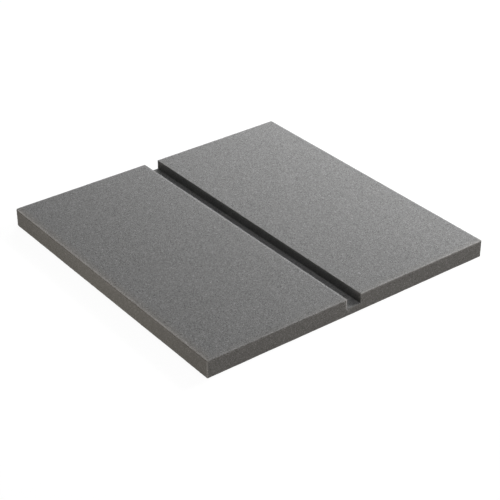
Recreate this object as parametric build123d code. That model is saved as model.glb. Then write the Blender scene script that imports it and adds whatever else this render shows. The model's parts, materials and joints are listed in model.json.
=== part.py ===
from build123d import *
import os

# Acoustic foam panel: a square slab of fine-cell foam with a straight channel cut in its face.
# The slab lies on its back. X runs across the channel, Y along it and Z out of the face.
# The origin is the middle of the back. All sizes are in millimetres.

# The slab, as it is split and trimmed from the foam block
panel_width = 550.0
panel_length = 550.0
panel_thickness = 30.0
corner_radius = 2.5
arris_radius = 1.0

# The channel, open at the face and at both ends
channel_width = 26.5
channel_depth = 16.5
channel_offset = 1.5

# The overcut that the blade leaves where it turns from the wall into the floor: a thin wedge
overcut_mouth = 1.0
overcut_length = 7.0
overcut_angle = 50.0

channel_left = channel_offset - channel_width / 2
channel_floor = panel_thickness - channel_depth

# How far an edge may lie from the height it is picked at
pick_tolerance = 0.01


def slab():
    """The blank: a flat square of foam with slightly rounded upright corners."""
    blank = Box(
        panel_width,
        panel_length,
        panel_thickness,
        align=(Align.CENTER, Align.CENTER, Align.MIN),
    )
    return fillet(blank.edges().filter_by(Axis.Z), corner_radius)


def channel():
    """The strip of foam that the blade takes out, from one end of the slab to the other."""
    section = Plane.XZ * Pos(channel_offset, channel_floor) * Rectangle(
        channel_width,
        channel_depth,
        align=(Align.CENTER, Align.MIN),
    )
    return extrude(section, amount=panel_length / 2, both=True)


def overcut():
    """The slit that runs on from the foot of the channel's left wall, slanting in under its floor."""
    wall_foot = Vector(channel_left, channel_floor)
    mouth_edge = wall_foot + Vector(overcut_mouth, 0)
    tip = wall_foot + Vector(overcut_length, 0).rotate(Axis.Z, -overcut_angle)
    section = Plane.XZ * make_face(Polyline(wall_foot, mouth_edge, tip, close=True))
    return extrude(section, amount=panel_length / 2, both=True)


def edges_at_height(solid, direction, height):
    """The straight edges that run one way and have their middles at one height."""
    straight = solid.edges().filter_by(direction)
    return straight.filter_by_position(Axis.Z, height - pick_tolerance, height + pick_tolerance)


def soften(cut_slab):
    """Every outward edge of soft foam is a little round; the channel's inner corners stay sharp."""
    inner_corners = edges_at_height(cut_slab, Axis.Y, channel_floor)
    upright_corners = edges_at_height(cut_slab, Axis.Z, panel_thickness / 2)
    return fillet(cut_slab.edges() - inner_corners - upright_corners, arris_radius)


foam_panel = soften(slab() - channel()) - overcut()

os.makedirs("parts", exist_ok=True)
export_step(foam_panel, "parts/foam_panel.step")
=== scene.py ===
import json
import math

import bpy
import numpy as np
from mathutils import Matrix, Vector, noise
from mathutils.geometry import delaunay_2d_cdt


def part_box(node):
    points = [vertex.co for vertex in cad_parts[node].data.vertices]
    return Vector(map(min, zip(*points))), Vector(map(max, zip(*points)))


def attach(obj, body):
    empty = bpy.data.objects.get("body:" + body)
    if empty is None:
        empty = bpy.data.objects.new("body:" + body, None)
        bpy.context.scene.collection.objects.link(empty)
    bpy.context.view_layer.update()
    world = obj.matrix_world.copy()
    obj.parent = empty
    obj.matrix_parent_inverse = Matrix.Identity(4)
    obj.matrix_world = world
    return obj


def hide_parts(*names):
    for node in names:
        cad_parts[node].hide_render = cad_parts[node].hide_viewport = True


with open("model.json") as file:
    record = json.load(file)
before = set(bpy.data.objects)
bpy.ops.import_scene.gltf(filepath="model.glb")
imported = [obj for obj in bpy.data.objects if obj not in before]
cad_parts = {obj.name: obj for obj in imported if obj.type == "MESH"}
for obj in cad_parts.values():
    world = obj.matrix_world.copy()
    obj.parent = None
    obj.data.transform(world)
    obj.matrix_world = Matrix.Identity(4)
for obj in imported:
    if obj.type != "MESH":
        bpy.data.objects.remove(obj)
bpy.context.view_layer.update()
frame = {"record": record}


# ---- The foam slab -------------------------------------------------------------------------
# A square slab of soft open-cell polyurethane foam, dark grey all through, with no skin or backing.
# It is split off a large block and trimmed square with a blade. A second pass of the blade takes a
# strip out of its face, which leaves a straight channel with a fine overcut at the foot of one wall.

MM = 0.001
slab_low, slab_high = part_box("foam_panel")
left, near, back = slab_low
right, far, face = slab_high
channel_low, channel_high = frame["record"]["physics"]["openings"][0]["box_m"]
channel_room = 0.25 * MM  # the record's channel box stands clear of the foam by this much
channel_left = channel_low[0] - channel_room
channel_right = channel_high[0] + channel_room
channel_floor = channel_low[2] - channel_room

arris_radius = 1.0 * MM
arris_steps = 3
overcut_mouth = 0.4 * MM
overcut_tip = Vector((channel_left + 4.5 * MM, channel_floor - 5.4 * MM))
face_step = 2.45 * MM
back_step = 11.0 * MM
edge_step = 1.1 * MM
touching = 0.1 * MM  # a point this close to a cut lies on it


def straight_cut(start, end, step):
    """Points from start up to, but not including, end, closer together beside the two edges."""
    length = (end - start).length
    if length > 4 * edge_step and step > edge_step:
        count = max(1, round((length - 2 * edge_step) / step))
        stops = [0] + [edge_step + (length - 2 * edge_step) * i / count for i in range(count + 1)]
    else:
        count = max(1, round(length / step))
        stops = [length * i / count for i in range(count)]
    return [start.lerp(end, stop / length) for stop in stops]


def cut_outline(corners):
    """The outline across the channel, anticlockwise. A corner is its place, radius and the step after it."""
    outline = []
    for i, (corner, radius, step) in enumerate(corners):
        next_corner, next_radius, _ = corners[(i + 1) % len(corners)]
        way_in = (corner - corners[i - 1][0]).normalized()
        way_out = (next_corner - corner).normalized()
        if radius:
            middle = corner - way_in * radius + way_out * radius
            for k in range(arris_steps):
                turn = math.pi / 2 * k / arris_steps
                outline.append(middle - way_out * radius * math.cos(turn) + way_in * radius * math.sin(turn))
        outline += straight_cut(corner + way_out * radius, next_corner - way_out * next_radius, step)
    return np.array(outline)


arrises = [Vector(c) for c in ((left, back), (right, back), (right, face), (left, face))]
lips = [Vector((channel_right, face)), Vector((channel_left, face))]
wall_feet = [Vector((channel_right, channel_floor)), Vector((channel_left, channel_floor))]
overcut_edge = Vector((channel_left + overcut_mouth, channel_floor))
outline = cut_outline([
    (arrises[0], arris_radius, back_step),
    (arrises[1], arris_radius, face_step),
    (arrises[2], arris_radius, face_step),
    (lips[0], arris_radius, face_step),
    (wall_feet[0], 0, face_step),
    (overcut_edge, 0, face_step),
    (overcut_tip, 0, face_step),
    (wall_feet[1], 0, face_step),
    (lips[1], arris_radius, face_step),
    (arrises[3], arris_radius, face_step),
])


# The outline runs the whole length of the slab, and both ends are sawn square across. Every arris
# is a little round, and the far corner on the left is crushed rounder than the other three.
row_step = 2.45 * MM
end_rows = np.array([0, 0.12, 0.4, 1.0, 1.7, 2.7]) * MM
corner_radii = {
    ("left", "near"): 1.8 * MM,
    ("left", "far"): 7.2 * MM,
    ("right", "near"): 2.0 * MM,
    ("right", "far"): 2.5 * MM,
}
corner_reach = 14 * MM
wall_end_radius = 3.0 * MM
fullest_lean = 0.95
sharpest_turn = 0.4  # keeps the slit's sharp tip from being moved too far


def set_back(depth, radius):
    """How far a rounded edge stands back, this deep behind the end face."""
    lean = np.clip((radius - depth) / radius, 0, fullest_lean)
    return radius - radius * np.sqrt(1 - lean**2)


def outward_ways(outline):
    """Which way is out at each point, lengthened at corners so that a set-back outline stays parallel."""
    ahead = np.roll(outline, -1, 0) - outline
    ahead /= np.linalg.norm(ahead, axis=1, keepdims=True)
    sides = np.stack([ahead[:, 1], -ahead[:, 0]], 1)
    before = np.roll(sides, 1, 0)
    return (sides + before) / (1 + (sides * before).sum(1, keepdims=True)).clip(sharpest_turn)


middle_count = round((far - near - 2 * end_rows[-1]) / row_step) - 1
middle_rows = np.linspace(end_rows[-1], far - near - end_rows[-1], middle_count + 2)[1:-1]
rows = near + np.concatenate([end_rows, middle_rows, (far - near - end_rows)[::-1]])
outward = outward_ways(outline)
on_left_wall = (np.abs(outline[:, 0] - channel_left) < touching) & (outline[:, 1] > channel_floor - touching)
rings = []
for y in rows:
    end = "near" if y < 0 else "far"
    depth = min(y - near, far - y)
    x = outline[:, 0].copy()
    for side, sign in (("left", -1), ("right", 1)):
        pull = ((sign * outline[:, 0] - (right - corner_reach)) / corner_reach).clip(0, 1)
        x -= sign * pull * set_back(depth, corner_radii[side, end])
    inset = np.where(on_left_wall, set_back(depth, wall_end_radius), set_back(depth, arris_radius))
    x -= outward[:, 0] * inset
    rings.append(np.stack([x, np.full(len(x), y), outline[:, 1] - outward[:, 1] * inset], 1))
around, along = len(outline), len(rows)
points = np.concatenate(rings)

faces = []
for j in range(along - 1):
    for i in range(around):
        k = (i + 1) % around
        faces.append((j * around + i, (j + 1) * around + i, (j + 1) * around + k, j * around + k))

end_step = 2.4 * MM
end_scatter = 0.3
end_clearance = 0.55 * end_step
inner_clearance = 0.8 * edge_step
weld = 1e-7
rng = np.random.default_rng(7)


def sawn_end(ring, ring_start, new_start, facing_far):
    """Fills one end: points just inside the ring, scattered points, and triangles between them all."""
    flat = ring[:, (0, 2)]
    inner = flat - outward_ways(flat) * edge_step
    across = np.arange(left + end_step, right - end_step / 2, end_step)
    up = np.arange(back + end_step, face - end_step / 2, end_step)
    spots = np.stack(np.meshgrid(across, up), -1).reshape(-1, 2)
    spots = spots + rng.uniform(-end_scatter, end_scatter, spots.shape) * end_step
    apart = np.linalg.norm(spots[:, None] - inner[None], axis=2).min(1)
    clear = np.linalg.norm(spots[:, None] - flat[None], axis=2).min(1)
    spots = spots[(apart > end_clearance) & (clear > end_clearance)]
    clear = np.linalg.norm(inner[:, None] - flat[None], axis=2).min(1)
    inner = inner[clear > inner_clearance]
    loose = [Vector(p) for p in np.concatenate([inner, spots])]
    rim = [Vector(p) for p in flat]
    edges = [(i, (i + 1) % len(rim)) for i in range(len(rim))]
    filled = delaunay_2d_cdt(rim + loose, edges, [list(range(len(rim)))], 1, weld)
    place, new_points = {}, []
    for v, (spot, origin) in enumerate(zip(filled[0], filled[3])):
        on_rim = [o for o in origin if o < len(rim)]
        if on_rim:
            place[v] = ring_start + on_rim[0]
        else:
            place[v] = new_start + len(new_points)
            new_points.append((spot[0], ring[0, 1], spot[1]))
    triangles = [tuple(place[v] for v in (t[::-1] if facing_far else t)) for t in filled[2]]
    return np.array(new_points), triangles


near_points, near_faces = sawn_end(rings[0], 0, len(points), False)
far_points, far_faces = sawn_end(rings[-1], (along - 1) * around, len(points) + len(near_points), True)
end_start = len(points)
points = np.concatenate([points, near_points, far_points])
faces += near_faces + far_faces

# The skin laid out flat for its colours: the outline unrolled once round, the back at a narrower
# gauge than the face, and the two sawn ends in a band below and a band above.
layout_gap = 0.004
end_band = 0.055
narrowest = 0.6 * MM
back_gauge = 0.4
next_outline = np.roll(outline, -1, 0)
steps_around = np.linalg.norm(next_outline - outline, axis=1).clip(narrowest)
on_back = outline[:, 1] + next_outline[:, 1] < 2 * back + MM
steps_around[on_back] *= back_gauge
unrolled = (np.arange(around) + np.argmax(on_back & ~np.roll(on_back, 1))) % around
starts = np.empty(around)
starts[unrolled] = np.cumsum(steps_around[unrolled]) - steps_around[unrolled]
starts[~on_back] += layout_gap * steps_around.sum()
whole = (starts + steps_around).max()
u_start = 1 - layout_gap - (1 - 2 * layout_gap) * starts / whole
u_end = u_start - (1 - 2 * layout_gap) * steps_around / whole
v_rows = np.concatenate([[0], np.cumsum(np.diff(rows).clip(narrowest))])
v_rows = end_band + (1 - 2 * end_band) * v_rows / v_rows[-1]
layout = []
for j in range(along - 1):
    for i in range(around):
        layout += [(u_start[i], v_rows[j]), (u_start[i], v_rows[j + 1])]
        layout += [(u_end[i], v_rows[j + 1]), (u_end[i], v_rows[j])]
u_ends = layout_gap + (1 - 2 * layout_gap) * (points[:, 0] - left) / (right - left)
v_ends = layout_gap + (end_band - 2 * layout_gap) * (points[:, 2] - back) / (face - back)
layout += [(u_ends[v], v_ends[v]) for triangle in near_faces for v in triangle]
layout += [(u_ends[v], 1 - v_ends[v]) for triangle in far_faces for v in triangle]

across_cut = points[:, (0, 2)]
side_arrises = [np.array(c) for c in arrises + lips]
to_side = np.min([np.linalg.norm(across_cut - c, axis=1) for c in side_arrises], axis=0)
to_end = np.minimum(points[:, 1] - near, far - points[:, 1])
inside_an_end = np.arange(len(points)) >= end_start
off_the_arris = 10 * MM
to_arris = np.minimum(to_side, to_end + off_the_arris * inside_an_end)


def from_line(start, end):
    """How far each point is from a straight line between two places."""
    start, end = np.array(start), np.array(end)
    share = ((points - start) @ (end - start) / ((end - start) @ (end - start))).clip(0, 1)
    return np.linalg.norm(points - start - share[:, None] * (end - start), axis=1)


# Pale lines along the arrises, partly cells torn open and partly painted highlight where a rounded arris
# catches the light, brightest at the near end of the channel's left wall. These run round an end: from and
# to, how far in from the end in mm, how much paler, how wide in mm.
torn_and_painted_round_end = [
    ((left, face), (channel_left, face), 1.8, 0.22, 3.0),
    ((channel_right, face - 0.4 * MM), (right, face - 0.4 * MM), 0.6, 0.46, 2.9),
    ((left + 0.35 * MM, back), (left + 0.35 * MM, face - 1.4 * MM), 0.6, 0.95, 1.75),
    ((right - 0.7 * MM, back), (right - 0.7 * MM, face), 0.6, 0.10, 1.8),
]
wall_end_x = channel_left - 1.2 * MM
torn_and_painted_round_channel = [
    ((wall_end_x, channel_floor + 1.6 * MM), (wall_end_x, face - MM), 0.6, 1.65, 2.6),
    ((channel_right + 2.0 * MM, channel_floor), (channel_right + 2.0 * MM, face), 0.6, 0.16, 3.0),
    ((channel_left + 8 * MM, channel_floor), (channel_right - 2 * MM, channel_floor), 0.6, 0.95, 2.5),
    ((channel_left - 0.3 * MM, channel_floor), overcut_tip + Vector((-MM, MM)), 0, 1.0, 2.5),
]
# These run the whole length: where, how much paler, how wide in mm.
torn_and_painted_along = [
    ((left + 2.2 * MM, face), 0.46, 2.8),
    ((left, face - 1.0 * MM), 0.14, 3.5),
    ((channel_left - 1.6 * MM, face), 0.34, 3.4),
    ((channel_right + 1.5 * MM, face), 0.16, 3.2),
    ((channel_right, face - 1.8 * MM), 0.28, 4.0),
    ((right - 1.5 * MM, face), 0.15, 3.0),
]
torn_and_painted_lines = []
for y, way_in, channel_share in ((near, MM, 1.0), (far, -MM, 0.5)):  # the pale lines at the channel's far end are half as strong
    for lines, share in ((torn_and_painted_round_end, 1.0), (torn_and_painted_round_channel, channel_share)):
        for start, end, depth, gain, reach in lines:
            y_line = y + way_in * depth
            torn_and_painted_lines.append(((start[0], y_line, start[1]), (end[0], y_line, end[1]), gain * share, reach))
first_y, last_y = near + 2.5 * MM, far - 2.5 * MM
torn_and_painted_lines += [((x, first_y, z), (x, last_y, z), gain, reach) for (x, z), gain, reach in torn_and_painted_along]
# Paleness from torn cells and painted highlight, with the painted shade below taken off it.
paleness = np.zeros(len(points))
for start, end, gain, reach in torn_and_painted_lines:
    paleness = np.maximum(paleness, gain * (1 - from_line(start, end) / (reach * MM)).clip(0, 1))

# Painted shade: low on the channel's walls, at their near ends and on a spot of the floor beside the left
# wall's near foot, the foam's colour is darkened.
low_wall_painted_shade = 0.24
low_wall_top = 4 * MM
low_wall_depth = 10.5 * MM
wall_end_painted_shade = 0.30
wall_end_reach = 14 * MM
floor_spot_painted_shade = 0.40
spot_reach = 5 * MM
beside_channel = np.abs(points[:, 0]) < 20 * MM
to_wall = np.minimum(np.abs(points[:, 0] - channel_left), np.abs(points[:, 0] - channel_right))
on_wall = to_wall < touching
low_on_wall = ((face - points[:, 2] - low_wall_top) / low_wall_depth).clip(0, 1)
paleness -= on_wall * low_wall_painted_shade * low_on_wall
near_wall_end = ((near + wall_end_reach - points[:, 1]) / wall_end_reach).clip(0, 1)
paleness -= on_wall * wall_end_painted_shade * near_wall_end
on_floor = (np.abs(points[:, 2] - channel_floor) < touching) & beside_channel
spot_start = (channel_left + 2 * MM, near + 2 * MM, channel_floor)
spot_end = (channel_left + 8 * MM, near + 7 * MM, channel_floor)
paleness -= on_floor * floor_spot_painted_shade * (1 - from_line(spot_start, spot_end) / spot_reach).clip(0, 1)

# Along the left and the near arris the face has yellowed a little.
left_yellowing = 0.09
left_yellow_reach = 16 * MM
near_yellowing = 0.038
near_yellow_reach = 13 * MM
yellow_depth = 0.7 * MM
yellow_left = left_yellowing * (1 - (points[:, 0] - left) / left_yellow_reach).clip(0, 1)
yellow_near = near_yellowing * (1 - (points[:, 1] - near) / near_yellow_reach).clip(0, 1)
yellowing = np.maximum(yellow_left, yellow_near)
yellowing *= points[:, 2] > face - yellow_depth

# A blade leaves open-cell foam finely rough, with arrises that are a touch crumbly and not quite
# straight. The slit stays clean, and the feet of the walls stay in line.
roughness = 0.05 * MM
crumble = 0.12 * MM
crumbly_reach = 1.2 * arris_radius
blade_drift = 0.15 * MM
blade_drift_length = 60 * MM
loose_share = 0.28
back_share = 0.5
held_reach = 1.5 * arris_radius
foot_reach = 1.5 * MM
mesh = bpy.data.meshes.new("foam_slab")
mesh.from_pydata(points.tolist(), [], faces)
mesh.uv_layers.new(name="OFBake").data.foreach_set("uv", np.array(layout).ravel())
mesh.update()
normals = np.array([v.normal for v in mesh.vertices])
on_arris = to_arris < crumbly_reach
settle = rng.normal(0, roughness, len(points))
settle -= on_arris * np.abs(rng.normal(0, crumble, len(points)))
settle += [blade_drift * noise.noise(Vector(p) / blade_drift_length) for p in points]
slide = rng.uniform(-loose_share, loose_share, (len(points), 3)) * face_step
slide -= (slide * normals).sum(1, keepdims=True) * normals
slide[to_arris < held_reach] = 0
slide[np.abs(points[:, 2] - back) < MM] *= back_share
leaning = np.abs(normals[:, 0]) > 0.3
in_slit = beside_channel & (points[:, 2] < channel_floor + touching) & leaning
settle[in_slit] = 0
slide[in_slit] = 0
to_foot = np.min([np.linalg.norm(across_cut - np.array(c), axis=1) for c in wall_feet], axis=0)
near_foot = to_foot < foot_reach
slide[near_foot] *= (0, 1, 0)
rough_points = points + normals * settle[:, None] + slide

# The slab is about a millimetre out of square, as foam that gives under the blade can be.
near_widening = 0.2 * MM
far_narrowing = 0.8 * MM
right_lengthening = 1.1 * MM
rightward = (points[:, 0] - left) / (right - left)
farward = (points[:, 1] - near) / (far - near)
rough_points[:, 0] += (near_widening * (1 - farward) - far_narrowing * farward) * rightward
rough_points[:, 1] += right_lengthening * farward * rightward**2

sharp_fold_degrees = 50
mesh.vertices.foreach_set("co", rough_points.ravel())
mesh.update()
# One attribute carries the torn cells' paleness together with the painted highlights on the arrises and the
# painted shade in the channel.
mesh.attributes.new("paleness", "FLOAT", "POINT").data.foreach_set("value", paleness)
mesh.attributes.new("yellowing", "FLOAT", "POINT").data.foreach_set("value", yellowing)
mesh.validate()
mesh.shade_smooth()
mesh.set_sharp_from_angle(angle=math.radians(sharp_fold_degrees))
slab = bpy.data.objects.new("foam_slab", mesh)
bpy.context.scene.collection.objects.link(slab)
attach(slab, "root")
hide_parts("foam_panel")


class Wire:
    """A socket in a material, or none yet. Arithmetic on wires adds the Math nodes that work it out."""

    def __init__(self, tree, socket=None):
        self.tree, self.socket = tree, socket

    def node(self, kind, settings={}, values={}, out=0):
        """Adds a node, makes its settings, then fills its sockets with numbers, colours or wires."""
        added = self.tree.nodes.new(kind)
        for name, setting in settings.items():
            setattr(added, name, setting)
        for name, value in values.items():
            if isinstance(value, Wire):
                self.tree.links.new(value.socket, added.inputs[name])
            else:
                added.inputs[name].default_value = value
        return Wire(self.tree, added.outputs[out]) if len(added.outputs) else None

    def also(self, name):
        """Another output of the node that this wire comes from."""
        return Wire(self.tree, self.socket.node.outputs[name])

    def math(self, operation, *values):
        """Adds a Math node that does this to numbers or wires."""
        return self.node("ShaderNodeMath", {"operation": operation}, dict(enumerate(values)))

    def __add__(self, other):
        return self.math("ADD", self, other)

    def __sub__(self, other):
        return self.math("SUBTRACT", self, other)

    def __rsub__(self, other):
        return self.math("SUBTRACT", other, self)

    def __mul__(self, other):
        return self.math("MULTIPLY", self, other)

    def __or__(self, other):
        return self.math("MAXIMUM", self, other)

    __radd__, __rmul__, __ror__ = __add__, __mul__, __or__


# Each cell has its own shade of grey, cubed so that few stand out, and plainest on the sides and the
# ends. A few larger torn cells show as pale flecks, the tone drifts a little over the slab, and a small
# pit is sunk in each cell.
foam_grey = (0.222, 0.222, 0.221)
cell = 0.9 * MM
cell_contrast = 1.33
side_plainness = 0.30
end_plainness = 0.22
torn_cell = 1.5 * MM
fleck_share = 0.93
fleck_tone = 0.45
end_fleck_tone = 0.20
tone_drift = 0.05
tone_drift_length = 40 * MM
pit_depth = 0.2 * MM

foam = bpy.data.materials.new("grey_foam")
foam.use_nodes = True
foam.node_tree.nodes.clear()
wires = Wire(foam.node_tree)
place = wires.node("ShaderNodeTexCoord", out="Object")
facing = wires.node("ShaderNodeSeparateXYZ", {}, {0: place.also("Normal")})
on_side = facing.math("ABSOLUTE", facing)
on_end = facing.math("ABSOLUTE", facing.also("Y"))
cells = wires.node("ShaderNodeTexVoronoi", {}, {"Vector": place, "Scale": 1 / cell}, out="Color")
cell_shade = wires.node("ShaderNodeSeparateColor", {}, {0: cells})
pit = cells.also("Distance")
torn_cells = wires.node("ShaderNodeTexVoronoi", {}, {"Vector": place, "Scale": 1 / torn_cell}, out="Color")
torn_shade = wires.node("ShaderNodeSeparateColor", {}, {0: torn_cells}, out="Green")
drift = wires.node("ShaderNodeTexNoise", {}, {"Vector": place, "Scale": 1 / tone_drift_length, "Detail": 2})
liveliness = 1 - side_plainness * on_side - end_plainness * on_end
cell_tone = cell_shade - 0.5
tone = 1 + 4 * cell_tone * cell_tone * cell_tone * cell_contrast * liveliness
tone = tone + (drift - 0.5) * tone_drift
# The torn cells' paleness, the painted highlights on the arrises and the painted shade in the channel
# lighten or darken the grey here.
torn_and_painted_fac = wires.node("ShaderNodeAttribute", {"attribute_name": "paleness"}, out="Fac")
tone = tone * (1 + torn_and_painted_fac * (0.75 + 0.5 * cell_shade.also("Green")))
fleck = (torn_shade - fleck_share) * (1 / (1 - fleck_share)) | 0
tone = tone + fleck * (fleck_tone + end_fleck_tone * on_end)
yellow = wires.node("ShaderNodeAttribute", {"attribute_name": "yellowing"}, out="Fac")
grey = {0: tone * (1 + 0.5 * yellow), 1: tone, 2: tone * (1 - 0.5 * yellow)}
grey = wires.node("ShaderNodeCombineColor", {}, grey)
mix_grey = {"data_type": "RGBA", "blend_type": "MULTIPLY", "clamp_result": False}
colour = wires.node("ShaderNodeMix", mix_grey, {0: 1.0, 6: grey, 7: (*foam_grey, 1)}, out=2)
relief = wires.node("ShaderNodeBump", {}, {"Strength": 0.5, "Distance": pit_depth, "Height": pit})
cut_foam = {"Base Color": colour, "Roughness": 0.95, "Specular IOR Level": 0.0, "Normal": relief}
shader = wires.node("ShaderNodeBsdfPrincipled", {}, cut_foam)
wires.node("ShaderNodeOutputMaterial", {}, {"Surface": shader})
mesh.materials.append(foam)


# ---- The table -----------------------------------------------------------------------------
# A plain sheet of warm white board, lit softly from beneath, which lifts the slab's cut sides. It
# runs out of sight on every side, is as white as the room behind it and keeps the slab's soft shadow.

table_reach = 6.0
table_gap = 0.35 * MM
board_white = (0.30, 0.29, 0.273, 1)
board_glow = (0.528, 0.494, 0.458, 1)
seen_glow = 0.955
seen_board = (0.1, 0.1, 0.1, 1)

board = bpy.data.materials.new("warm_white_board")
board.use_nodes = True
board.node_tree.nodes.clear()
wires = Wire(board.node_tree)
path = wires.node("ShaderNodeLightPath", out="Is Camera Ray")
seen = path | path.also("Is Glossy Ray") | path.also("Is Transmission Ray")
lit_board = wires.node("ShaderNodeBsdfDiffuse", {}, {"Color": board_white})
backlight = wires.node("ShaderNodeEmission", {}, {"Color": board_glow, "Strength": 1.0})
lit_board = wires.node("ShaderNodeAddShader", {}, {0: lit_board, 1: backlight})
shown_board = wires.node("ShaderNodeBsdfDiffuse", {}, {"Color": seen_board})
glow = wires.node("ShaderNodeEmission", {}, {"Color": (1, 1, 1, 1), "Strength": seen_glow})
shown = wires.node("ShaderNodeAddShader", {}, {0: shown_board, 1: glow})
board_face = wires.node("ShaderNodeMixShader", {}, {0: seen, 1: lit_board, 2: shown})
wires.node("ShaderNodeOutputMaterial", {}, {"Surface": board_face})

board_mesh = bpy.data.meshes.new("table_board")
board_corners = [(x * table_reach, y * table_reach, 0) for x, y in ((-1, -1), (1, -1), (1, 1), (-1, 1))]
board_mesh.from_pydata(board_corners, [], [(0, 1, 2, 3)])
board_mesh.materials.append(board)
table = bpy.data.objects.new("table_board", board_mesh)
bpy.context.scene.collection.objects.link(table)
table.location.z = back - table_gap


# ---- The studio ----------------------------------------------------------------------------
# Two softboxes on the right and one far on the right make the face brighter towards them. One stands
# high in front, and a small warm card low on the left. The room behind is plain white.


def softbox(name, azimuth, elevation, distance, width, height, watts, colour=(1, 1, 1)):
    """A soft lamp in this direction and at this distance from the slab, turned towards it."""
    lamp = bpy.data.lights.new(name, "AREA")
    lamp.shape = "RECTANGLE"
    lamp.size = width
    lamp.size_y = height
    lamp.energy = watts
    lamp.color = colour
    box = bpy.data.objects.new(name, lamp)
    bpy.context.scene.collection.objects.link(box)
    a, e = math.radians(azimuth), math.radians(elevation)
    away = Vector((math.cos(a) * math.cos(e), math.sin(a) * math.cos(e), math.sin(e)))
    box.location = away * distance
    box.rotation_euler = (-away).to_track_quat("-Z", "Y").to_euler()


softbox("key_softbox", -12, 39, 1.2, 0.2, 0.2, 9.7)
softbox("side_softbox", 0, 40, 1.8, 0.3, 0.3, 6.4)
softbox("far_softbox", 60, 30, 1.2, 0.6, 0.6, 8.5)
softbox("front_softbox", 270, 60, 1.5, 0.4, 0.4, 4.2)
softbox("left_card", 178, 4, 0.8, 0.3, 0.1, 0.66, (1.0, 0.93, 0.80))

room = bpy.data.worlds.new("white_room")
bpy.context.scene.world = room
room.use_nodes = True
room.node_tree.nodes.clear()
wires = Wire(room.node_tree)
path = wires.node("ShaderNodeLightPath", out="Is Camera Ray")
seen = path | path.also("Is Glossy Ray") | path.also("Is Transmission Ray")
wall_white = wires.node("ShaderNodeBackground", {}, {"Color": (1, 1, 1, 1), "Strength": seen})
wires.node("ShaderNodeOutputWorld", {}, {"Surface": wall_white})

camera_place = (-1.2277, -1.6202, 1.2218)
camera_aim = Vector((0.5187, 0.6778, -0.5211))
camera = bpy.data.objects.new("camera", bpy.data.cameras.new("camera"))
camera.data.lens = 102.79
camera.data.sensor_width = 36
camera.location = camera_place
camera.rotation_euler = camera_aim.to_track_quat("-Z", "Y").to_euler()
bpy.context.scene.collection.objects.link(camera)
bpy.context.scene.camera = camera
bpy.context.scene.view_settings.view_transform = "Standard"
